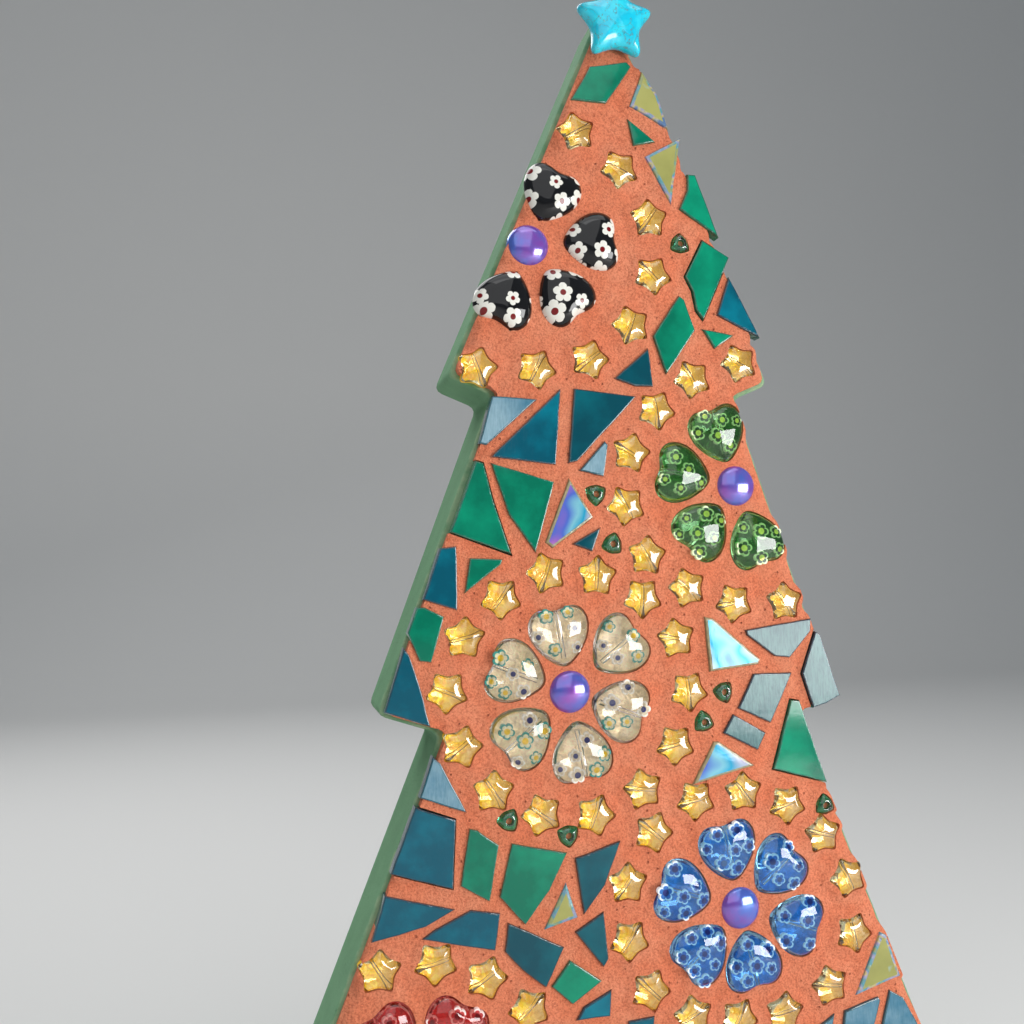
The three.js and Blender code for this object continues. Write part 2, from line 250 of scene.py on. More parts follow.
def lofted(bm, rows):
    face = outlineFace(bm, *rows[0])
    for points, depth in rows[1:]:
        face = bmesh.ops.extrude_discrete_faces(bm, faces=[face])["faces"][0]
        for vert, point in zip(face.verts, points):
            vert.co = at(point, depth)
    top = bmesh.ops.poke(bm, faces=[face])
    bmesh.ops.holes_fill(bm, edges=[e for e in bm.edges if e.is_boundary])
    return top["verts"][0]


def scaledRow(points, centre, scale):
    return [centre + (p - centre) * scale for p in points]


def puffed(outline, centre, base, shape):      # rows of a pillow, from its foot to near its crown
    low, high = -62, 86                         # degrees up its rounded side
    middleRadius = sum((p - centre).length for p in outline) / len(outline)
    rows = []
    for index in range(shape["rows"]):
        turn = math.radians(low + (high - low) * index / (shape["rows"] - 1))
        share = math.cos(turn) ** shape["full"]
        reach = shape["top"] - shape["widest"] if turn > 0 else shape["widest"] - shape["foot"]
        even = 0 if turn < 0 else shape["even"] * (1 - share)      # the crown is rounder than the outline
        points = [centre + (p - centre) * share * (1 + even * (middleRadius / (p - centre).length - 1))
                  for p in outline]
        rows.append((points, base + shape["widest"] + reach * math.sin(turn)))
    return rows


def turnedPoint(x, z, angle):
    return Vector((x * math.cos(angle) - z * math.sin(angle), x * math.sin(angle) + z * math.cos(angle)))


# what the frame says: outlines, centres and depths

def mergedCopy(node):
    bm = bmesh.new()
    bm.from_mesh(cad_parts[node].data)
    bmesh.ops.remove_doubles(bm, verts=bm.verts, dist=1e-6)
    return bm


def longestRim(faces):
    inside = set(faces)
    after = {}
    for face in faces:
        for loop in face.loops:
            if not any(other in inside for other in loop.edge.link_faces if other is not face):
                after[loop.vert] = loop.link_loop_next.vert
    loops = []
    while after:
        here, points = next(iter(after)), []
        while here in after:
            points.append(Vector((here.co.x, here.co.z)))
            here = after.pop(here)
        loops.append(points)
    return max(loops, key=lambda points: sum((a - b).length for a, b in zip(points, points[1:])))


def depthOf(vert):
    return -vert.co.y / mm


def outlineAt(node, depth):
    bm = mergedCopy(node)
    points = longestRim([f for f in bm.faces if all(abs(depthOf(v) - depth) < 0.02 for v in f.verts)])
    bm.free()
    return points


def frontDepth(node):
    return -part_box(node)[0][1] / mm


boardDepth = frontDepth("board")


def groutIslands():      # the small pieces that the frame keeps as one solid with the grout
    bm = mergedCopy("grout_bed")
    levels = {}
    for face in bm.faces:
        if face.normal.y < -0.99:
            level = round(depthOf(face.verts[0]), 2)
            levels[level] = levels.get(level, 0) + face.calc_area()
    deck = max(levels, key=levels.get)
    proud = {v for v in bm.verts if depthOf(v) > deck + 0.1}
    found = []
    for first in bm.verts:
        if first not in proud:
            continue
        proud.discard(first)
        island, queue = [], [first]
        while queue:
            here = queue.pop()
            island.append(here)
            for other in (edge.other_vert(here) for edge in here.link_edges):
                if other in proud:
                    proud.discard(other)
                    queue.append(other)
        top = max(depthOf(v) for v in island)
        ring = [v for v in island if depthOf(v) < top - 0.2]
        if ring:
            crown = next(v for v in island if depthOf(v) == top)
            outline = [Vector((v.co.x, v.co.z)) for v in ring]
            kind = "star" if len(ring) > 8 else "bead"
            centre = Vector((crown.co.x, crown.co.z))
        else:
            members = set(island)
            outline = longestRim([f for f in bm.faces if all(v in members for v in f.verts)])
            kind, centre = "tile", sum(outline, Vector((0, 0))) / len(outline)
        found.append({"kind": kind, "centre": centre, "outline": outline, "top": top})
    bm.free()
    found.sort(key=lambda piece: (round(piece["centre"].x, 4), round(piece["centre"].y, 4)))
    return deck, found


deckDepth, islands = groutIslands()
stars = [i for i in islands if i["kind"] == "star"]
beads = [i for i in islands if i["kind"] == "bead"]
smallTiles = [i for i in islands if i["kind"] == "tile"]
tileNodes = sorted(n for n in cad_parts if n.startswith("tile_"))
heartNodes = sorted(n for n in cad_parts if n.startswith("heart_"))
discNodes = sorted(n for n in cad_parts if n.startswith("disc_"))


def middle(node):
    low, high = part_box(node)
    return Vector(((low[0] + high[0]) / 2, (low[2] + high[2]) / 2))


def byAngle(points, centre):
    return sorted(points, key=lambda p: math.atan2(p.y - centre.y, p.x - centre.x))


def heartPlace(node):      # where its tip is, which way that points, and its size
    bm = mergedCopy(node)
    back = min(depthOf(v) for v in bm.verts)
    ring = [Vector((v.co.x, v.co.z)) for v in bm.verts if depthOf(v) < back + 0.05]
    top = max(depthOf(v) for v in bm.verts)
    bm.free()
    disc = middle("disc_" + node.split("_")[1])
    tip = min(ring, key=lambda p: (p - disc).length)
    mean = sum(ring, Vector((0, 0))) / len(ring)
    ahead = (tip - mean).normalized()
    length = max(ahead.dot(p) for p in ring) - min(ahead.dot(p) for p in ring)
    across = Vector((-ahead.y, ahead.x))
    width = max(across.dot(p) for p in ring) - min(across.dot(p) for p in ring)
    return tip, ahead, length, width, top


print("read from the frame:", len(stars), "stars,", len(beads), "beads,", len(smallTiles), "small tiles")
makeCamera()
makeLights()
makeStage()


# the painted board

boardSet = {
    "paint": tint(118, 164, 124),
    "paintWorn": tint(96, 136, 104),
    "rim": tint(150, 178, 140),
    "stain": tint(70, 84, 66),
    "arris": 0.9,              # rounding of the sawn edges, mm
    "strokes": 0.16,           # height of the brush marks, mm
}


def paintMaterial():
    material, tree, shader = newMaterial("board_paint", Roughness=0.7, Specular_IOR_Level=0.15)
    place = objectMm(tree)
    along = objectMm(tree, (1, 0.25, 1))
    patches = spread(tree, cloud(tree, place, 9, 4, 0.6), 0.40, 0.70, 0, 0.4)
    specks = spread(tree, cloud(tree, place, 1.1, 4, 0.7), 0.60, 0.72)
    colour = blendColours(tree, patches, boardSet["paint"], boardSet["paintWorn"])
    colour = blendColours(tree, sums(tree, "MULTIPLY", specks, 0.4), colour, boardSet["stain"])
    depth = addNode(tree, "ShaderNodeSeparateXYZ", {0: place}).outputs["Y"]
    wobble = spread(tree, cloud(tree, place, 4, 3), 0.3, 0.7, -1.4, 1.4)
    nearFront = spread(tree, sums(tree, "ADD", depth, wobble), 1.0 - boardDepth, -0.6 - boardDepth)
    colour = blendColours(tree, nearFront, colour, boardSet["rim"])
    tree.links.new(colour, shader.inputs["Base Color"])
    strokes = cloud(tree, along, 0.7, 4, 0.6)
    grain = cloud(tree, place, 0.35, 3, 0.6)
    bumpFrom(tree, shader, sums(tree, "ADD", strokes, grain), boardSet["strokes"])
    return material


def makeBoard():
    bm = bmesh.new()
    face = outlineFace(bm, outlineAt("board", boardDepth), 0)
    made = bmesh.ops.extrude_face_region(bm, geom=[face])
    verts = [g for g in made["geom"] if isinstance(g, bmesh.types.BMVert)]
    bmesh.ops.translate(bm, verts=verts, vec=(0, -boardDepth * mm, 0))
    bmesh.ops.recalc_face_normals(bm, faces=bm.faces)
    rims = [e for e in bm.edges if e.calc_face_angle(0) > 0.6
            and abs(e.verts[0].co.y - e.verts[1].co.y) < 1e-5]
    bmesh.ops.bevel(bm, geom=rims, offset=boardSet["arris"] * mm, offset_type="OFFSET", affect="EDGES",
                    segments=3, profile=0.5, material=-1, clamp_overlap=True)
    addPiece("board_painted", bm, [paintMaterial()], ["board"], 50, True)


makeBoard()
print("board made")


# the grout

groutSet = {
    "colour": tint(235, 132, 92),
    "pale": tint(238, 148, 110),
    "dark": tint(178, 78, 48),
    "step": 1.0,               # mm between the relief's points
    "slope": 3.4,              # how far in from the board's edge the grout falls away, mm
    "edgeFall": 1.7,           # how far it falls there, mm
    "dish": 0.28,              # sinking between the pieces, mm
    "uneven": 0.10,            # finger marks, mm
    "below": 0.8,              # how far below a tile's top it meets the tile, mm
    "ring": 0.43,              # its rise where it meets a bead, mm
    "domes": 0.8,              # height over it that a disc or black heart counts as, mm
    "lip": 1.6,                # width of the slope from a piece down to the dish, mm
    "bump": 0.42,              # height of its sand and pits, mm
    "sunk": 0.1,               # its foot in the board, mm
    "floor": 0.08,             # what is left of it under a bead, mm
    "cut": 9,                  # height of the pocket cutters, mm
}


def groutMaterial():
    material, tree, shader = newMaterial("grout_orange", Roughness=0.9)
    place = objectMm(tree)
    patches = spread(tree, cloud(tree, place, 7, 4), 0.35, 0.7)
    colour = blendColours(tree, patches, groutSet["colour"], groutSet["pale"])
    sand = cloud(tree, place, 0.55, 4, 0.75)
    colour = blendColours(tree, spread(tree, sand, 0.56, 0.34, 0, 0.75), colour, groutSet["dark"])
    cells = addNode(tree, "ShaderNodeTexVoronoi", {"Vector": place, "Scale": 0.42, "Randomness": 1.0})
    pit = spread(tree, cells.outputs["Distance"], 0.16, 0.07)
    chance = addNode(tree, "ShaderNodeSeparateXYZ", {0: cells.outputs["Color"]}).outputs["X"]
    pit = sums(tree, "MULTIPLY", pit, sums(tree, "GREATER_THAN", chance, 0.72), True)
    # painted shade: the pits are darkened as well as sunk, as shade would fall in them
    colour = blendColours(tree, sums(tree, "MULTIPLY", pit, 0.75), colour, groutSet["dark"])
    tree.links.new(colour, shader.inputs["Base Color"])
    lumps = cloud(tree, place, 1.6, 3, 0.6)
    height = sums(tree, "ADD", sums(tree, "MULTIPLY", lumps, 1.4), sand)
    height = sums(tree, "SUBTRACT", height, sums(tree, "MULTIPLY", pit, 1.6))
    bumpFrom(tree, shader, height, groutSet["bump"])
    return material


def isInside(outline, point):
    odd = False
    for a, b in zip(outline, outline[1:] + outline[:1]):
        if (a.y > point.y) != (b.y > point.y):
            if point.x < (b.x - a.x) * (point.y - a.y) / (b.y - a.y) + a.x:
                odd = not odd
    return odd


def sampled(outline, step):
    points = []
    for a, b in zip(outline, outline[1:] + outline[:1]):
        count = max(1, int((b - a).length / (step * mm)))
        points += [a.lerp(b, i / count) for i in range(count)]
    return points


def treeOf(points):
    made = kdtree.KDTree(len(points))
    for index, point in enumerate(points):
        made.insert((point.x, point.y, 0), index)
    made.balance()
    return made


def makeGrout(solidEdges, pocketGroups):
    bm = bmesh.new()
    outline = outlineAt("grout_bed", boardDepth)
    outlineFace(bm, outline, deckDepth)
    low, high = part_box("grout_bed")
    for axis, normal in ((0, (1, 0, 0)), (2, (0, 0, 1))):
        place = low[axis] + 0.4 * mm
        while place < high[axis]:
            point = tuple(place if i == axis else 0 for i in range(3))
            bmesh.ops.bisect_plane(bm, geom=bm.verts[:] + bm.edges[:] + bm.faces[:], dist=1e-6,
                                   plane_co=point, plane_no=normal)
            place += groutSet["step"] * mm
    rim = treeOf(sampled(outline, 0.5))
    edgePoints, lips = [], []
    lipped = [(edge, top - groutSet["below"]) for edge, top in solidEdges]
    lipped += [(edge, deckDepth + groutSet["ring"]) for group in pocketGroups for edge in group]
    for edge, lip in lipped:
        points = sampled(edge, 0.5)
        edgePoints += points
        lips += [lip] * len(points)
    pieceEdges = treeOf(edgePoints)
    for vert in bm.verts:
        x, z = vert.co.x, vert.co.z
        fromRim = rim.find((x, z, 0))[2] / mm
        index, away = pieceEdges.find((x, z, 0))[1:]
        fromPiece = away / mm
        ragged = noise.noise(Vector((x, z, 0)) / (6 * mm))
        fall = max(0, 1 - fromRim / (groutSet["slope"] * (1 + 0.4 * ragged)))
        height = deckDepth - groutSet["edgeFall"] * fall ** 1.6
        height -= groutSet["dish"] * min(1, fromPiece / groutSet["lip"]) * (0.8 + 0.6 * ragged)
        height += groutSet["uneven"] * noise.noise(Vector((x, z, 0.3)) / (2.2 * mm))
        near = max(0, min(1, 1.5 - fromPiece / groutSet["lip"]))
        height += (lips[index] - height) * near
        vert.co.y = -height * mm
    edges = [e for e in bm.edges if e.is_boundary]
    skirt = bmesh.ops.extrude_edge_only(bm, edges=edges)["geom"]
    for vert in (g for g in skirt if isinstance(g, bmesh.types.BMVert)):
        vert.co.y = -(boardDepth - groutSet["sunk"]) * mm
    bmesh.ops.holes_fill(bm, edges=[e for e in bm.edges if e.is_boundary])
    grout = addPiece("grout_relief", bm, [groutMaterial()], ["grout_bed"], 75)
    cutPockets(grout, pocketGroups)


def cutPockets(piece, groups):      # pockets of one group never overlap, so each group is one cut
    cutters = []
    for outlines in groups:
        bm = bmesh.new()
        for outline in outlines:
            lofted(bm, [(outline, boardDepth + groutSet["floor"]), (outline, boardDepth + groutSet["cut"])])
        bmesh.ops.recalc_face_normals(bm, faces=bm.faces)
        mesh = bpy.data.meshes.new("pockets")
        bm.to_mesh(mesh)
        bm.free()
        cutter = bpy.data.objects.new("pockets", mesh)
        bpy.context.collection.objects.link(cutter)
        cut = piece.modifiers.new("pockets", "BOOLEAN")
        cut.object, cut.operation, cut.solver = cutter, "DIFFERENCE", "EXACT"
        cutters.append(cutter)
    shaped = piece.evaluated_get(bpy.context.evaluated_depsgraph_get())
    done = bpy.data.meshes.new_from_object(shaped)
    piece.modifiers.clear()
    piece.data = done
    done.polygons.foreach_set("use_smooth", [True] * len(done.polygons))
    done.set_sharp_from_angle(angle=math.radians(50))
    for cutter in cutters:
        bpy.data.objects.remove(cutter)


# glass tiles, nipped by hand from sheets

tileSet = {
    "green": {"top": (0, 112, 86), "second": (8, 156, 118), "side": (10, 118, 92), "rough": 0.07},
    "teal": {"top": (0, 84, 104), "second": (0, 122, 142), "side": (0, 74, 92), "rough": 0.10},
    "deep": {"top": (0, 72, 86), "second": (2, 104, 116), "side": (4, 66, 78), "rough": 0.12},
    "pale": {"top": (146, 178, 192), "second": (70, 124, 150), "side": (34, 96, 110), "rough": 0.14},
    "grey": {"top": (98, 140, 138), "second": (76, 118, 120), "side": (26, 66, 80), "rough": 0.20},
    "olive": {"top": (170, 168, 96), "second": (150, 150, 84), "side": (120, 140, 124), "rough": 0.30},
    "pearl": {"top": (150, 200, 220), "second": (214, 196, 216), "side": (164, 156, 118), "rough": 0.12},
}
rippleSet = {"green": 0.007, "teal": 0.03, "deep": 0.010, "pale": 0.012, "grey": 0.03, "olive": 0.02,
             "pearl": 0.03}             # height of the ripples in the top, mm
brushedSet = {"grey": 0.55, "pale": 0.3}      # how much the brushed lines show
tileShape = {
    "arris": {"olive": 1.1, "pearl": 0.8},      # width of the worn front edge, mm
    "plainArris": 0.45,
    "step": 3.2,               # mm between the points of its nipped edge
    "waver": 0.16,             # how far those wander, mm
    "tilt": 0.7,               # how far it leans at most, degrees
    "mostRise": 0.25,          # and lifts at most, mm
    "foot": 0.4,               # grout under it, mm
    "oliveTop": 4.4,           # height of the olive stock over the board, mm
}
pearlStops = [(0.28, (200, 110, 170)), (0.37, (176, 186, 206)), (0.45, (30, 160, 200)),
              (0.52, (130, 196, 212)), (0.60, (84, 110, 204)), (0.68, (166, 110, 196)),
              (0.78, (206, 180, 110))]
oliveStops = [(0.35, (150, 156, 100)), (0.45, (84, 150, 160)), (0.55, (150, 146, 180)),
              (0.62, (190, 176, 110)), (0.7, (90, 120, 160))]


def tileMaterial(stock):
    values = tileSet[stock]
    material, tree, shader = newMaterial("glass_" + stock, Roughness=values["rough"], Coat_Weight=0.1,
                                         Coat_Roughness=0.03, Specular_IOR_Level=0.36)
    place = objectMm(tree)
    mottle = spread(tree, cloud(tree, place, 6, 4, 0.6), 0.35, 0.7, 0, 0.6)
    batch = spread(tree, cloud(tree, place, 34, 0), 0.42, 0.58, -0.2, 0.5)
    mottle = sums(tree, "ADD", mottle, batch, True)
    colour = blendColours(tree, mottle, tint(*values["top"]), tint(*values["second"]))
    if stock == "pearl":
        shader.inputs["Metallic"].default_value = 0.10
        shader.inputs["Specular IOR Level"].default_value = 0.2
        colour = ramp(tree, cloud(tree, place, 13, 1, 0.4), pearlStops)
    if stock in brushedSet:
        lines = cloud(tree, objectMm(tree, (1, 1, 0.14)), 0.5, 4, 0.7)
        lines = spread(tree, lines, 0.38, 0.62, 0, brushedSet[stock])
        colour = blendColours(tree, lines, colour, tint(*values["side"]))
    if stock == "olive":
        flecks = spread(tree, cloud(tree, place, 5, 2), 0.60, 0.72)
        colour = blendColours(tree, flecks, colour, tint(150, 190, 200))
    tree.links.new(colour, shader.inputs["Base Color"])
    ripple = addNode(tree, "ShaderNodeTexNoise",
                     {"Vector": place, "Scale": 0.55, "Detail": 2.0, "Distortion": 0.8})
    fine = cloud(tree, place, 0.3, 2)
    height = sums(tree, "ADD", ripple.outputs["Fac"], sums(tree, "MULTIPLY", fine, 0.03))
    if stock in ("grey", "pale", "teal"):
        brushed = cloud(tree, objectMm(tree, (1, 1, 0.12)), 0.45, 3)
        height = sums(tree, "ADD", height, sums(tree, "MULTIPLY", brushed, 0.5))
    rippled = bumpFrom(tree, shader, height, rippleSet[stock])
    tree.links.new(rippled, shader.inputs["Coat Normal"])
    return material


def tileSideMaterial(stock):
    values = tileSet[stock]
    material, tree, shader = newMaterial("glass_" + stock + "_side", Roughness=values["rough"] * 0.8,
                                         Coat_Weight=0.8, Coat_Roughness=0.03)
    place = objectMm(tree)
    chips = spread(tree, cloud(tree, place, 2.2, 3, 0.6), 0.35, 0.7)
    darker = tuple(c * 0.6 for c in tint(*values["side"]))
    colour = blendColours(tree, chips, tint(*values["side"]), darker)
    if stock == "olive":
        colour = ramp(tree, cloud(tree, place, 4, 1), oliveStops)
    tree.links.new(colour, shader.inputs["Base Color"])
    bumpFrom(tree, shader, cloud(tree, place, 1.1, 3), 0.3)
    return material


stockMaterials = {stock: [tileMaterial(stock), tileSideMaterial(stock)] for stock in tileSet}
stockByTop = {round(frontDepth(n), 1): n.split("_")[1] for n in tileNodes}
stockByTop[round(boardDepth + tileShape["oliveTop"], 1)] = "olive"


def addTile(bm, outline, top, foot):
    middlePoint = sum(outline, Vector((0, 0))) / len(outline)
    face = outlineFace(bm, sampled(outline, tileShape["step"]), foot)
    for vert in face.verts:
        spot = vert.co / (3.1 * mm)
        shift = Vector((noise.noise(spot), 0, noise.noise(spot + Vector((9, 4, 2)))))
        vert.co += shift * tileShape["waver"] * mm
    topFace = bmesh.ops.extrude_discrete_faces(bm, faces=[face])["faces"][0]
    lean = (draw.uniform(-1, 1) * tileShape["tilt"], draw.uniform(-1, 1) * tileShape["tilt"])
    most = tileShape["mostRise"] * mm
    for vert in topFace.verts:
        rise = math.tan(math.radians(lean[0])) * (vert.co.x - middlePoint.x)
        rise += math.tan(math.radians(lean[1])) * (vert.co.z - middlePoint.y)
        vert.co.y = -top * mm + max(-most, min(most, rise))
    for edge in topFace.edges:
        for side in edge.link_faces:
            if side is not topFace:
                side.material_index = 1


def finishTile(bm, stock):
    bmesh.ops.holes_fill(bm, edges=[e for e in bm.edges if e.is_boundary])
    bmesh.ops.recalc_face_normals(bm, faces=bm.faces)
    front = [e for e in bm.edges if any(f.normal.y < -0.9 for f in e.link_faces)
             and any(f.normal.y > -0.5 for f in e.link_faces)]
    arris = tileShape["arris"].get(stock, tileShape["plainArris"])
    bmesh.ops.bevel(bm, geom=front, offset=arris * mm, offset_type="OFFSET", affect="EDGES",
                    segments=2, profile=0.5, material=1, clamp_overlap=True)


def addTilePiece(name, stock, outline, top, replaced):
    bm = bmesh.new()
    addTile(bm, outline, top, boardDepth + tileShape["foot"])
    finishTile(bm, stock)
    addPiece(name, bm, stockMaterials[stock], replaced, 35, True)


def makeTiles():
    for node in tileNodes:
        top = frontDepth(node)
        addTilePiece("glass_" + node, node.split("_")[1], outlineAt(node, top), top, [node])
    for index, piece in enumerate(smallTiles):
        stock = stockByTop.get(round(piece["top"], 1), "green")
        addTilePiece("glass_nip_%02d" % (index + 1), stock, piece["outline"], piece["top"], ())


makeTiles()
print("tiles made:", len(tileNodes), "large,", len(smallTiles), "small")


# amber glass stars, and what all see-through beads share

starSet = {
    "amber": (1.0, 0.95, 0.56),
    "coat": 0.6,
    # painted light and shade: the foil's shade tone darkens each star seat's right side
    "foil": {"lit": tint(255, 224, 34), "dark": tint(242, 174, 26), "paintedShade": tint(226, 182, 104),
             # the glow value is painted light: the star seats glow a little
             "crinkle": 0.6, "metal": 0.5, "paintedGlow": 0.40},
    "grow": 1.13,              # its size against the frame's
    "hole": 0.50,              # radius of the thread hole, mm
    "holeDepth": 2.2,          # height of the thread hole over the foot, mm
    "foot": 0.0,               # these six are for puffed, heights in mm
    "widest": 1.9,
    "top": 4.6,
    "full": 0.62,
    "even": 1.0,
    "rows": 14,
}
pocketSlack = 1.035            # size of a star's or emerald's pocket against the bead's
seatRows = [(0.70, -0.35), (0.96, -0.1), (1.02, 0.9), (1.022, 2.0), (1.008, 2.1), (1.003, 1.2), (0.93, 0.28),
            (0.72, -0.08), (0.4, -0.12)]      # a cup: share of the outline, height in mm
seatWall = 0.9                 # height at which the painted shade on the cup's wall is full, mm


def clearGlass(name, colour, coat=0.0, rough=0.0, ior=1.5):
    return newMaterial(name, Base_Color=(*colour, 1), Roughness=rough, IOR=ior, Transmission_Weight=1.0,
                       Coat_Weight=coat, Coat_IOR=2.0, Coat_Roughness=0.02)[0]


def foilMaterial(name, lit, dark, crinkle, metal, paintedGlow, paintedShade=None):
    material, tree, shader = newMaterial(name, Roughness=0.42, Metallic=metal, Emission_Strength=paintedGlow)
    place = objectMm(tree)
    folds = addNode(tree, "ShaderNodeTexVoronoi", {"Vector": place, "Scale": 0.9}, feature="SMOOTH_F1")
    colour = blendColours(tree, spread(tree, cloud(tree, place, 1.2, 4, 0.7), 0.40, 0.62), lit, dark)
    if paintedShade:
        # painted light and shade: the seat keeps its lighter tone on its left and turns to the shade tone on
        # its right, as light gathered through the bead would fall
        across = addNode(tree, "ShaderNodeAttribute", attribute_name="across").outputs["Fac"]
        colour = blendColours(tree, spread(tree, across, -0.15, 0.35), colour, paintedShade)
    # painted shade: the cup's wall is darkened towards the bead's rim, where the glass edge looks dark
    wall = addNode(tree, "ShaderNodeAttribute", attribute_name="wall").outputs["Fac"]
    colour = blendColours(tree, sums(tree, "MULTIPLY", wall, 0.6), colour, tuple(c * 0.35 for c in dark))
    tree.links.new(colour, shader.inputs["Base Color"])
    tree.links.new(colour, shader.inputs["Emission Color"])      # painted light: the seat glows in its own colour, as if lit through the bead
    height = sums(tree, "ADD", folds.outputs["Distance"], cloud(tree, place, 0.6, 3))
    bumpFrom(tree, shader, height, crinkle)
    return material


threadHole = clearGlass("thread_hole", (1, 1, 1), rough=0.12, ior=0.667)      # air inside the glass


def softened(ring, centre, grow, passes, step):
    points = sampled(scaledRow(ring, centre, grow), step)
    for turn in range(passes):
        before, after = points[-1:] + points, points[1:] + points[:1]
        points = [a * 0.25 + b * 0.5 + c * 0.25 for a, b, c in zip(before, points, after)]
    return points


def seatOf(name, outline, centre, depth, material):
    bm = bmesh.new()
    lofted(bm, [(scaledRow(outline, centre, share), depth + rise) for share, rise in seatRows])
    across = bm.verts.layers.float.new("across")
    reach = max((p - centre).length for p in outline)
    wall = bm.verts.layers.float.new("wall")
    # across and wall carry painted light and shade: across runs left to right over the seat, wall up its cup
    for vert in bm.verts:
        vert[across] = (vert.co.x - centre.x) / reach
        vert[wall] = max(0, min(1, (depthOf(vert) - depth) / seatWall))
    addPiece(name, bm, [material], (), 30)


def addBore(bm, centre, depth, angle, length, radius):
    bore = bmesh.ops.create_cone(bm, cap_ends=True, segments=12, radius1=radius * mm, radius2=radius * mm,
                                 depth=length)
    lay = Matrix.Rotation(-angle, 4, "Y") @ Matrix.Rotation(math.radians(90), 4, "Y")
    bmesh.ops.transform(bm, matrix=Matrix.Translation(at(centre, depth)) @ lay, verts=bore["verts"])
    for face in {f for v in bore["verts"] for f in v.link_faces}:
        face.material_index = 1


def makeStars():
    glass = clearGlass("amber_glass", starSet["amber"], starSet["coat"])
    foil = foilMaterial("amber_foil", **starSet["foil"])
    made = []
    for index, star in enumerate(stars):
        centre = star["centre"]
        reach = [(p - centre).length for p in star["outline"]]
        farthest = star["outline"][reach.index(max(reach))] - centre
        angle = math.atan2(farthest.y, farthest.x)      # the thread hole leaves through the longest arm
        outline = softened(byAngle(star["outline"], centre), centre, starSet["grow"], 4, 0.6)
        made.append(scaledRow(outline, centre, pocketSlack))
        base = star["top"] - starSet["top"]
        bm = bmesh.new()
        apex = lofted(bm, puffed(outline, centre, base, starSet))
        apex.co.y = -(base + starSet["top"]) * mm
        length = (max(reach) + min(reach)) * 0.93
        shift = turnedPoint((max(reach) - min(reach)) * 0.47, 0, angle)
        addBore(bm, centre + shift, base + starSet["holeDepth"], angle, length, starSet["hole"])
        addPiece("amber_star_%02d" % (index + 1), bm, [glass, threadHole], (), 60)
        seatOf("amber_seat_%02d" % (index + 1), outline, centre, base, foil)
    return made


starPockets = makeStars()
print("stars made:", len(stars))


# hearts, each with its canes of flowers

heartSet = {
    "black": {"glass": (0.006, 0.006, 0.007), "petal": tint(236, 234, 224), "core": tint(120, 16, 20)},
    # each seat's glow value is painted light: the seat glows as if lit through its glass
    "green": {"glass": (0.30, 0.64, 0.30), "seat": (84, 146, 66), "paintedGlow": 0.12, "petals": [
        {"edge": (226, 246, 190), "petal": (24, 70, 34), "eye": (255, 250, 120)}]},
    "clear": {"glass": (1.0, 0.98, 0.95), "seat": (250, 228, 188), "paintedGlow": 0.26, "petals": [
        {"edge": (232, 226, 214), "petal": (206, 190, 160), "eye": (22, 28, 96)},
        {"edge": (40, 140, 130), "petal": (214, 206, 170), "eye": (226, 186, 30)}]},
    "blue": {"glass": (0.28, 0.66, 0.93), "seat": (76, 166, 230), "paintedGlow": 0.16, "petals": [
        {"edge": (232, 244, 250), "petal": (40, 110, 190), "eye": (16, 30, 110)}]},
    "red": {"glass": (0.88, 0.20, 0.18), "seat": (230, 90, 76), "paintedGlow": 0.2, "petals": [
        {"edge": (246, 226, 220), "petal": (190, 60, 60), "eye": (120, 8, 16)}]},
}
heartShape = {
    "wide": 1.18,              # its width against the frame's
    "round": 0.36,             # 0 a sharp heart, 1 an oval
    "slack": 1.025,            # size of its pocket against the bead
    "coat": 0.2,
    "hole": 0.6,               # radius of the thread hole, mm
    "holeDepth": 2.6,          # height of the thread hole over the foot, mm
    "holeLength": 0.72,        # share of the heart's length
    "foot": 0.4,               # these six are for puffed, heights in mm
    "widest": 2.7,
    "top": 6.4,
    "full": 0.75,
    "even": 0.8,
    "rows": 18,
}
flowerSet = {
    "radius": 2.25,
    "gap": 4.4,                # mm between the middles of two flowers at least
    "under": 0.30,             # glass over the flowers, mm
    "cane": 1.2,               # length of a cane, mm
    "within": 0.80,            # share of the heart's outline that flowers keep inside
    "tries": 400,
    # painted light: the canes glow a little, to read brighter
    "paintedGlow": 0.3,
    "steps": 50,               # points round a flower
    "layers": [(1.0, 0.0, True), (0.78, 0.05, True), (0.38, 0.10, False)],      # size, rise, with petals
}


def heartCurve(count=72):      # tip towards +x, one unit long or wide
    curve = []
    soft = heartShape["round"]
    for index in range(count):
        t = 2 * math.pi * index / count
        across = 0.42 * math.sin(t) + 0.58 * math.sin(t) ** 3
        along = 0.44 * math.cos(t) - 0.13 * math.cos(2 * t)
        along = along - 0.055 * math.cos(3 * t) - 0.012 * math.cos(4 * t)
        x = (1 - soft) * -along - soft * (0.42 * math.cos(t) - 0.08)
        curve.append((x, -0.5 * ((1 - soft) * across + soft * math.sin(t))))
    return curve


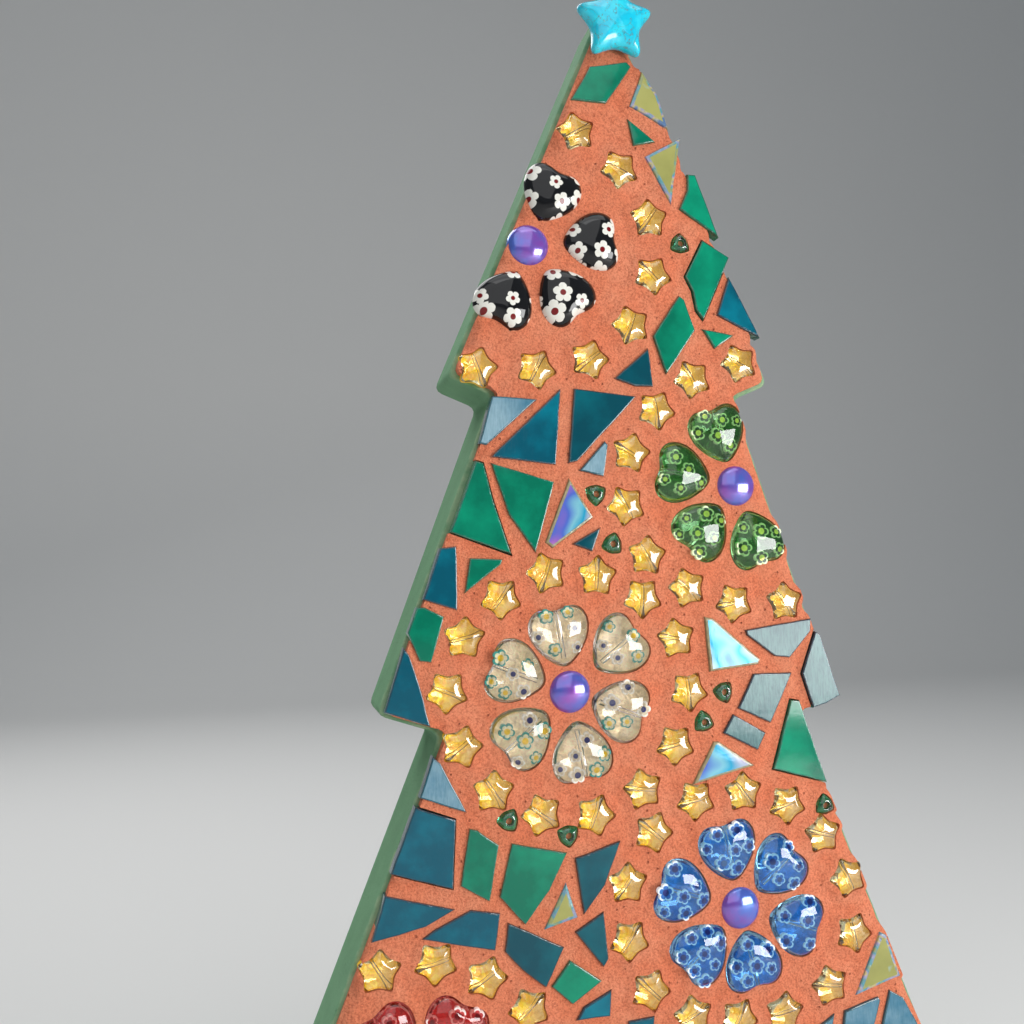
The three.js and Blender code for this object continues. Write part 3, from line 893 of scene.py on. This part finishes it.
def millefioriMaterial():
    material, tree, shader = newMaterial("millefiori_black", Roughness=0.05)
    place = objectMm(tree)
    parts = addNode(tree, "ShaderNodeSeparateXYZ", {0: place})
    flat = addNode(tree, "ShaderNodeCombineXYZ", {0: parts.outputs["X"], 1: parts.outputs["Z"]}).outputs[0]
    cells = addNode(tree, "ShaderNodeTexVoronoi", {"Vector": flat, "Scale": 0.155, "Randomness": 0.6},
                    voronoi_dimensions="2D")
    local = addNode(tree, "ShaderNodeVectorMath", {0: flat, 1: cells.outputs["Position"]},
                    operation="SUBTRACT").outputs[0]
    offset = addNode(tree, "ShaderNodeSeparateXYZ", {0: local})
    chance = addNode(tree, "ShaderNodeSeparateXYZ", {0: cells.outputs["Color"]})
    angle = sums(tree, "ARCTAN2", offset.outputs["Y"], offset.outputs["X"])
    phase = sums(tree, "MULTIPLY", chance.outputs["X"], 6.3)
    wave = sums(tree, "COSINE", sums(tree, "ADD", sums(tree, "MULTIPLY", angle, 2.5), phase))
    wave = sums(tree, "SQRT", sums(tree, "ABSOLUTE", wave))
    size = spread(tree, chance.outputs["Y"], 0, 1, 1.9, 3.2)
    edge = sums(tree, "MULTIPLY", size, spread(tree, wave, 0, 1, 0.58, 1.0))
    distance = addNode(tree, "ShaderNodeVectorMath", {0: local}, operation="LENGTH").outputs["Value"]
    blur = sums(tree, "MULTIPLY", sums(tree, "SUBTRACT", cloud(tree, place, 0.8, 2), 0.5), 0.3)
    reach = sums(tree, "SUBTRACT", sums(tree, "ADD", distance, blur), edge)
    petal = spread(tree, reach, 0.05, -0.05)
    core = spread(tree, sums(tree, "SUBTRACT", distance, sums(tree, "MULTIPLY", size, 0.30)), 0.05, -0.05)
    colour = blendColours(tree, petal, heartSet["black"]["glass"], heartSet["black"]["petal"])
    colour = blendColours(tree, core, colour, heartSet["black"]["core"])
    tree.links.new(colour, shader.inputs["Base Color"])
    return material


def caneSpots(curve, length, width):
    spots = []
    share = flowerSet["within"]
    inside = [Vector((x * length * share, z * width * share)) for x, z in curve]
    for attempt in range(flowerSet["tries"]):
        spot = Vector((draw.uniform(-0.52, 0.52) * length, draw.uniform(-0.5, 0.5) * width))
        if isInside(inside, spot) and all((spot - other).length > flowerSet["gap"] * mm for other in spots):
            spots.append(spot)
    return spots


def domeDepth(share):
    rise = math.sqrt(1 - share ** (2 / heartShape["full"]))
    return heartShape["widest"] + (heartShape["top"] - heartShape["widest"]) * rise


def addFlower(bm, centre, depth, radius, spin, first):
    for index, (scale, rise, lobes) in enumerate(flowerSet["layers"]):
        points = []
        for step in range(flowerSet["steps"]):
            turn = 2 * math.pi * step / flowerSet["steps"]
            grown = radius * scale * (0.60 + 0.40 * math.sqrt(abs(math.cos(2.5 * turn))) if lobes else 1)
            points.append(centre + turnedPoint(grown, 0, turn + spin))
        face = outlineFace(bm, points, depth - flowerSet["cane"] + rise)
        top = bmesh.ops.extrude_discrete_faces(bm, faces=[face])["faces"][0]
        for vert in top.verts:
            vert.co.y = -(depth + rise) * mm
        for edge in top.edges:
            for side in edge.link_faces:
                side.material_index = first + index


def caneMaterial(name, red, green, blue):
    material, tree, shader = newMaterial(name, Roughness=0.3, Emission_Strength=flowerSet["paintedGlow"])
    place = objectMm(tree)
    soft = spread(tree, cloud(tree, place, 0.7, 3), 0.3, 0.7)
    base = tint(red, green, blue)
    colour = blendColours(tree, soft, tuple(c * 0.7 for c in base), base)
    tree.links.new(colour, shader.inputs["Base Color"])
    # painted light: the cane glows in its own colour
    tree.links.new(colour, shader.inputs["Emission Color"])
    return material


def heartMaterials():
    glass, seats, canes = {}, {}, {}
    for kind, values in heartSet.items():
        if kind == "black":
            continue
        glass[kind] = clearGlass("heart_glass_" + kind, values["glass"], heartShape["coat"])
        lit = tint(*values["seat"])
        dark = tuple(c * 0.68 for c in lit)
        # painted light and shade: each seat glows by its glow value and has its cup wall darkened
        seats[kind] = foilMaterial("seat_" + kind, lit, dark, 0.4, 0.3, values["paintedGlow"])
        canes[kind] = [caneMaterial("cane_%s_%d_%s" % (kind, number, part), *petal[part])
                       for number, petal in enumerate(values["petals"]) for part in ("edge", "petal", "eye")]
    return glass, seats, canes


def addCanes(node, kind, curve, full, wide, centre, angle, base, materials):
    bm = bmesh.new()
    for spot in caneSpots(curve, full, wide):
        share = spot.length / (0.5 * full)
        depth = base + domeDepth(min(0.95, share + 0.22)) - flowerSet["under"]
        radius = flowerSet["radius"] * draw.uniform(0.72, 1.05) * mm
        first = 3 * draw.randrange(len(heartSet[kind]["petals"]))
        place = centre + turnedPoint(spot.x, spot.y, angle)
        addFlower(bm, place, depth, radius, draw.uniform(0, 6), first)
    addPiece("canes_" + node, bm, materials, (), 30)


def makeHearts():
    curve = heartCurve()
    glass, seats, canes = heartMaterials()
    black = millefioriMaterial()
    front = max(x for x, z in curve)
    span = front - min(x for x, z in curve)
    outlines = []
    for node in heartNodes:
        kind = node.split("_")[1]
        tip, ahead, length, width, top = heartPlace(node)
        angle = math.atan2(ahead.y, ahead.x)
        full = length / span
        wide = width * heartShape["wide"]
        centre = tip - ahead * front * full
        outline = [centre + turnedPoint(x * full, z * wide, angle) for x, z in curve]
        middlePoint = centre + ahead * 0.02 * full
        pocket = scaledRow(outline, middlePoint, heartShape["slack"])
        outlines.append((kind, outline if kind == "black" else pocket))
        base = top - heartShape["top"]
        bm = bmesh.new()
        apex = lofted(bm, puffed(outline, middlePoint, base, heartShape))
        apex.co.y = -top * mm
        if kind in glass:
            addBore(bm, middlePoint, base + heartShape["holeDepth"], angle, full * heartShape["holeLength"],
                    heartShape["hole"])
        addPiece("millefiori_" + node, bm, [glass.get(kind, black), threadHole], [node], 60)
        if kind in glass:
            foot = base + heartShape["foot"]
            seatOf("seat_" + node, outline, middlePoint, foot, seats[kind])
            addCanes(node, kind, curve, full, wide, centre, angle, base, canes[kind])
    return outlines


heartOutlines = makeHearts()
print("hearts made:", len(heartNodes))


# lustre discs, emerald beads and the star on top

discSet = {
    "violet": tint(150, 74, 190),
    "blue": tint(84, 110, 214),
    "grow": 1.13,
    "tall": 5.4,               # its height, mm
    "crown": 5.38,
    "rows": [(0.80, 0.0), (0.95, 0.5), (1.0, 1.3), (1.0, 2.3), (0.97, 3.0), (0.90, 3.7), (0.78, 4.3),
             (0.60, 4.8), (0.38, 5.15), (0.18, 5.3)],      # share of the radius, height in mm
}
beadSet = {
    "glass": (0.20, 0.76, 0.50),
    "seat": (90, 190, 140),
    "coat": 0.5,
    "lining": tint(214, 132, 88),
    "liningDark": tint(168, 92, 62),
    "grow": 1.18,
    "tall": 4.6,
    "hole": 0.85,              # radius of the hole through it, mm
    # share of the way from its outline to the hole, height in mm
    "body": [(0.0, 2.4), (0.12, 3.2), (0.3, 3.9), (0.55, 4.35), (0.8, 4.55), (0.93, 4.5), (1.0, 4.3),
             (1.0, 0.4)],
}
topperSet = {
    "base": tint(0, 200, 232),
    "pale": tint(50, 226, 244),
    "vein": tint(110, 84, 60),
    "grow": 1.08,
    "rows": [(0.72, 0.05), (0.90, 0.5), (0.985, 1.4), (1.0, 2.2), (0.985, 3.0), (0.94, 3.8), (0.85, 4.5),
             (0.70, 5.1), (0.50, 5.5), (0.26, 5.75)],
}


def circleRow(centre, radius, count=48):
    return [centre + turnedPoint(radius, 0, 2 * math.pi * i / count) for i in range(count)]


def discMaterial():
    material, tree, shader = newMaterial("lustre_disc", Roughness=0.16, Metallic=0.35, Coat_Weight=1.0,
                                         Coat_Roughness=0.03, Thin_Film_Thickness=420, Thin_Film_IOR=1.7)
    place = objectMm(tree)
    hue = spread(tree, cloud(tree, place, 7, 3), 0.35, 0.65)
    tree.links.new(blendColours(tree, hue, discSet["violet"], discSet["blue"]), shader.inputs["Base Color"])
    return material


def makeDiscs():
    material = discMaterial()
    outlines = []
    for node in discNodes:
        low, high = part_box(node)
        centre, radius = middle(node), (high[0] - low[0]) / 2 * discSet["grow"]
        base = frontDepth(node) - discSet["tall"]
        bm = bmesh.new()
        rows = [(circleRow(centre, radius * share), base + rise) for share, rise in discSet["rows"]]
        apex = lofted(bm, rows)
        apex.co.y = -(base + discSet["crown"]) * mm
        addPiece("lustre_" + node, bm, [material], [node], 60)
        outlines.append(circleRow(centre, radius))
    return outlines


def liningMaterial():
    material, tree, shader = newMaterial("bead_lining", Roughness=0.45)
    place = objectMm(tree)
    dust = spread(tree, cloud(tree, place, 0.5, 4, 0.7), 0.4, 0.65)
    colour = blendColours(tree, dust, beadSet["lining"], beadSet["liningDark"])
    tree.links.new(colour, shader.inputs["Base Color"])
    bumpFrom(tree, shader, cloud(tree, place, 0.3, 3), 0.1)
    return material


def makeBeads():
    glass = clearGlass("emerald_glass", beadSet["glass"], beadSet["coat"])
    lit = tint(*beadSet["seat"])
    # painted light and shade: the last value makes the emerald seat glow, and its cup wall is darkened
    foil = foilMaterial("emerald_foil", lit, tuple(c * 0.5 for c in lit), 0.3, 0.3, 0.2)
    lining = liningMaterial()
    made = []
    for index, bead in enumerate(beads):
        centre = bead["centre"]
        smooth = softened(byAngle(bead["outline"], centre), centre, beadSet["grow"], 2, 0.6)
        made.append(scaledRow(smooth, centre, pocketSlack))
        base = bead["top"] - beadSet["tall"]
        hole = [centre + (p - centre).normalized() * beadSet["hole"] * mm for p in smooth]
        outer = scaledRow(smooth, centre, 1.03)
        rows = [(scaledRow(smooth, centre, 0.8), base), (scaledRow(smooth, centre, 1.0), base + 1.2)]
        for share, rise in beadSet["body"]:
            rows.append(([p.lerp(q, share) for p, q in zip(outer, hole)], base + rise))
        body = bmesh.new()
        lofted(body, rows)
        addPiece("emerald_bead_%d" % (index + 1), body, [glass], (), 60)
        seatOf("emerald_seat_%d" % (index + 1), smooth, centre, base, foil)
        inner = scaledRow(hole, centre, 0.94)
        pin = bmesh.new()
        lofted(pin, [(inner, base + 0.5), (inner, base + 3.5), (scaledRow(hole, centre, 0.5), base + 3.2)])
        addPiece("emerald_lining_%d" % (index + 1), pin, [lining], (), 30)
    return made


def turquoiseMaterial():
    material, tree, shader = newMaterial("turquoise", Roughness=0.22, Coat_Weight=0.8, Coat_Roughness=0.06)
    place = objectMm(tree)
    swirl = addNode(tree, "ShaderNodeTexNoise",
                    {"Vector": place, "Scale": 0.16, "Detail": 5.0, "Distortion": 2.2})
    line = sums(tree, "ABSOLUTE", sums(tree, "SUBTRACT", swirl.outputs["Fac"], 0.5))
    vein = sums(tree, "MULTIPLY", spread(tree, line, 0.012, 0.002), 0.7)
    patches = spread(tree, cloud(tree, place, 3, 4), 0.35, 0.7)
    colour = blendColours(tree, patches, topperSet["base"], topperSet["pale"])
    tree.links.new(blendColours(tree, vein, colour, topperSet["vein"]), shader.inputs["Base Color"])
    bumpFrom(tree, shader, sums(tree, "MULTIPLY", vein, -1.0), 0.08)
    return material


def makeTopper():
    bm = mergedCopy("star_topper")
    base = min(depthOf(v) for v in bm.verts)
    ring = [Vector((v.co.x, v.co.z)) for v in bm.verts if depthOf(v) < base + 0.05]
    top = max(depthOf(v) for v in bm.verts)
    bm.free()
    centre = sum(ring, Vector((0, 0))) / len(ring)
    ring = [p for p in ring if (p - centre).length > 3 * mm]      # without the middle of its back
    outline = softened(byAngle(ring, centre), centre, topperSet["grow"], 5, 1.0)
    body = bmesh.new()
    rows = [(scaledRow(outline, centre, share), base + rise) for share, rise in topperSet["rows"]]
    apex = lofted(body, rows)
    apex.co.y = -top * mm
    addPiece("turquoise_star", body, [turquoiseMaterial()], ["star_topper"], 60)


discOutlines = makeDiscs()
beadPockets = makeBeads()
makeTopper()
print("discs, beads and the top star made")


# the grout comes last, since it rises to every piece

domes = discOutlines + [outline for kind, outline in heartOutlines if kind == "black"]
solids = [(outlineAt(n, frontDepth(n)), frontDepth(n)) for n in tileNodes]
solids += [(tile["outline"], tile["top"]) for tile in smallTiles]
solids += [(outline, deckDepth + groutSet["domes"]) for outline in domes]
clears = [outline for kind, outline in heartOutlines if kind != "black"]
makeGrout(solids, [clears, starPockets, beadPockets])
print("grout made")
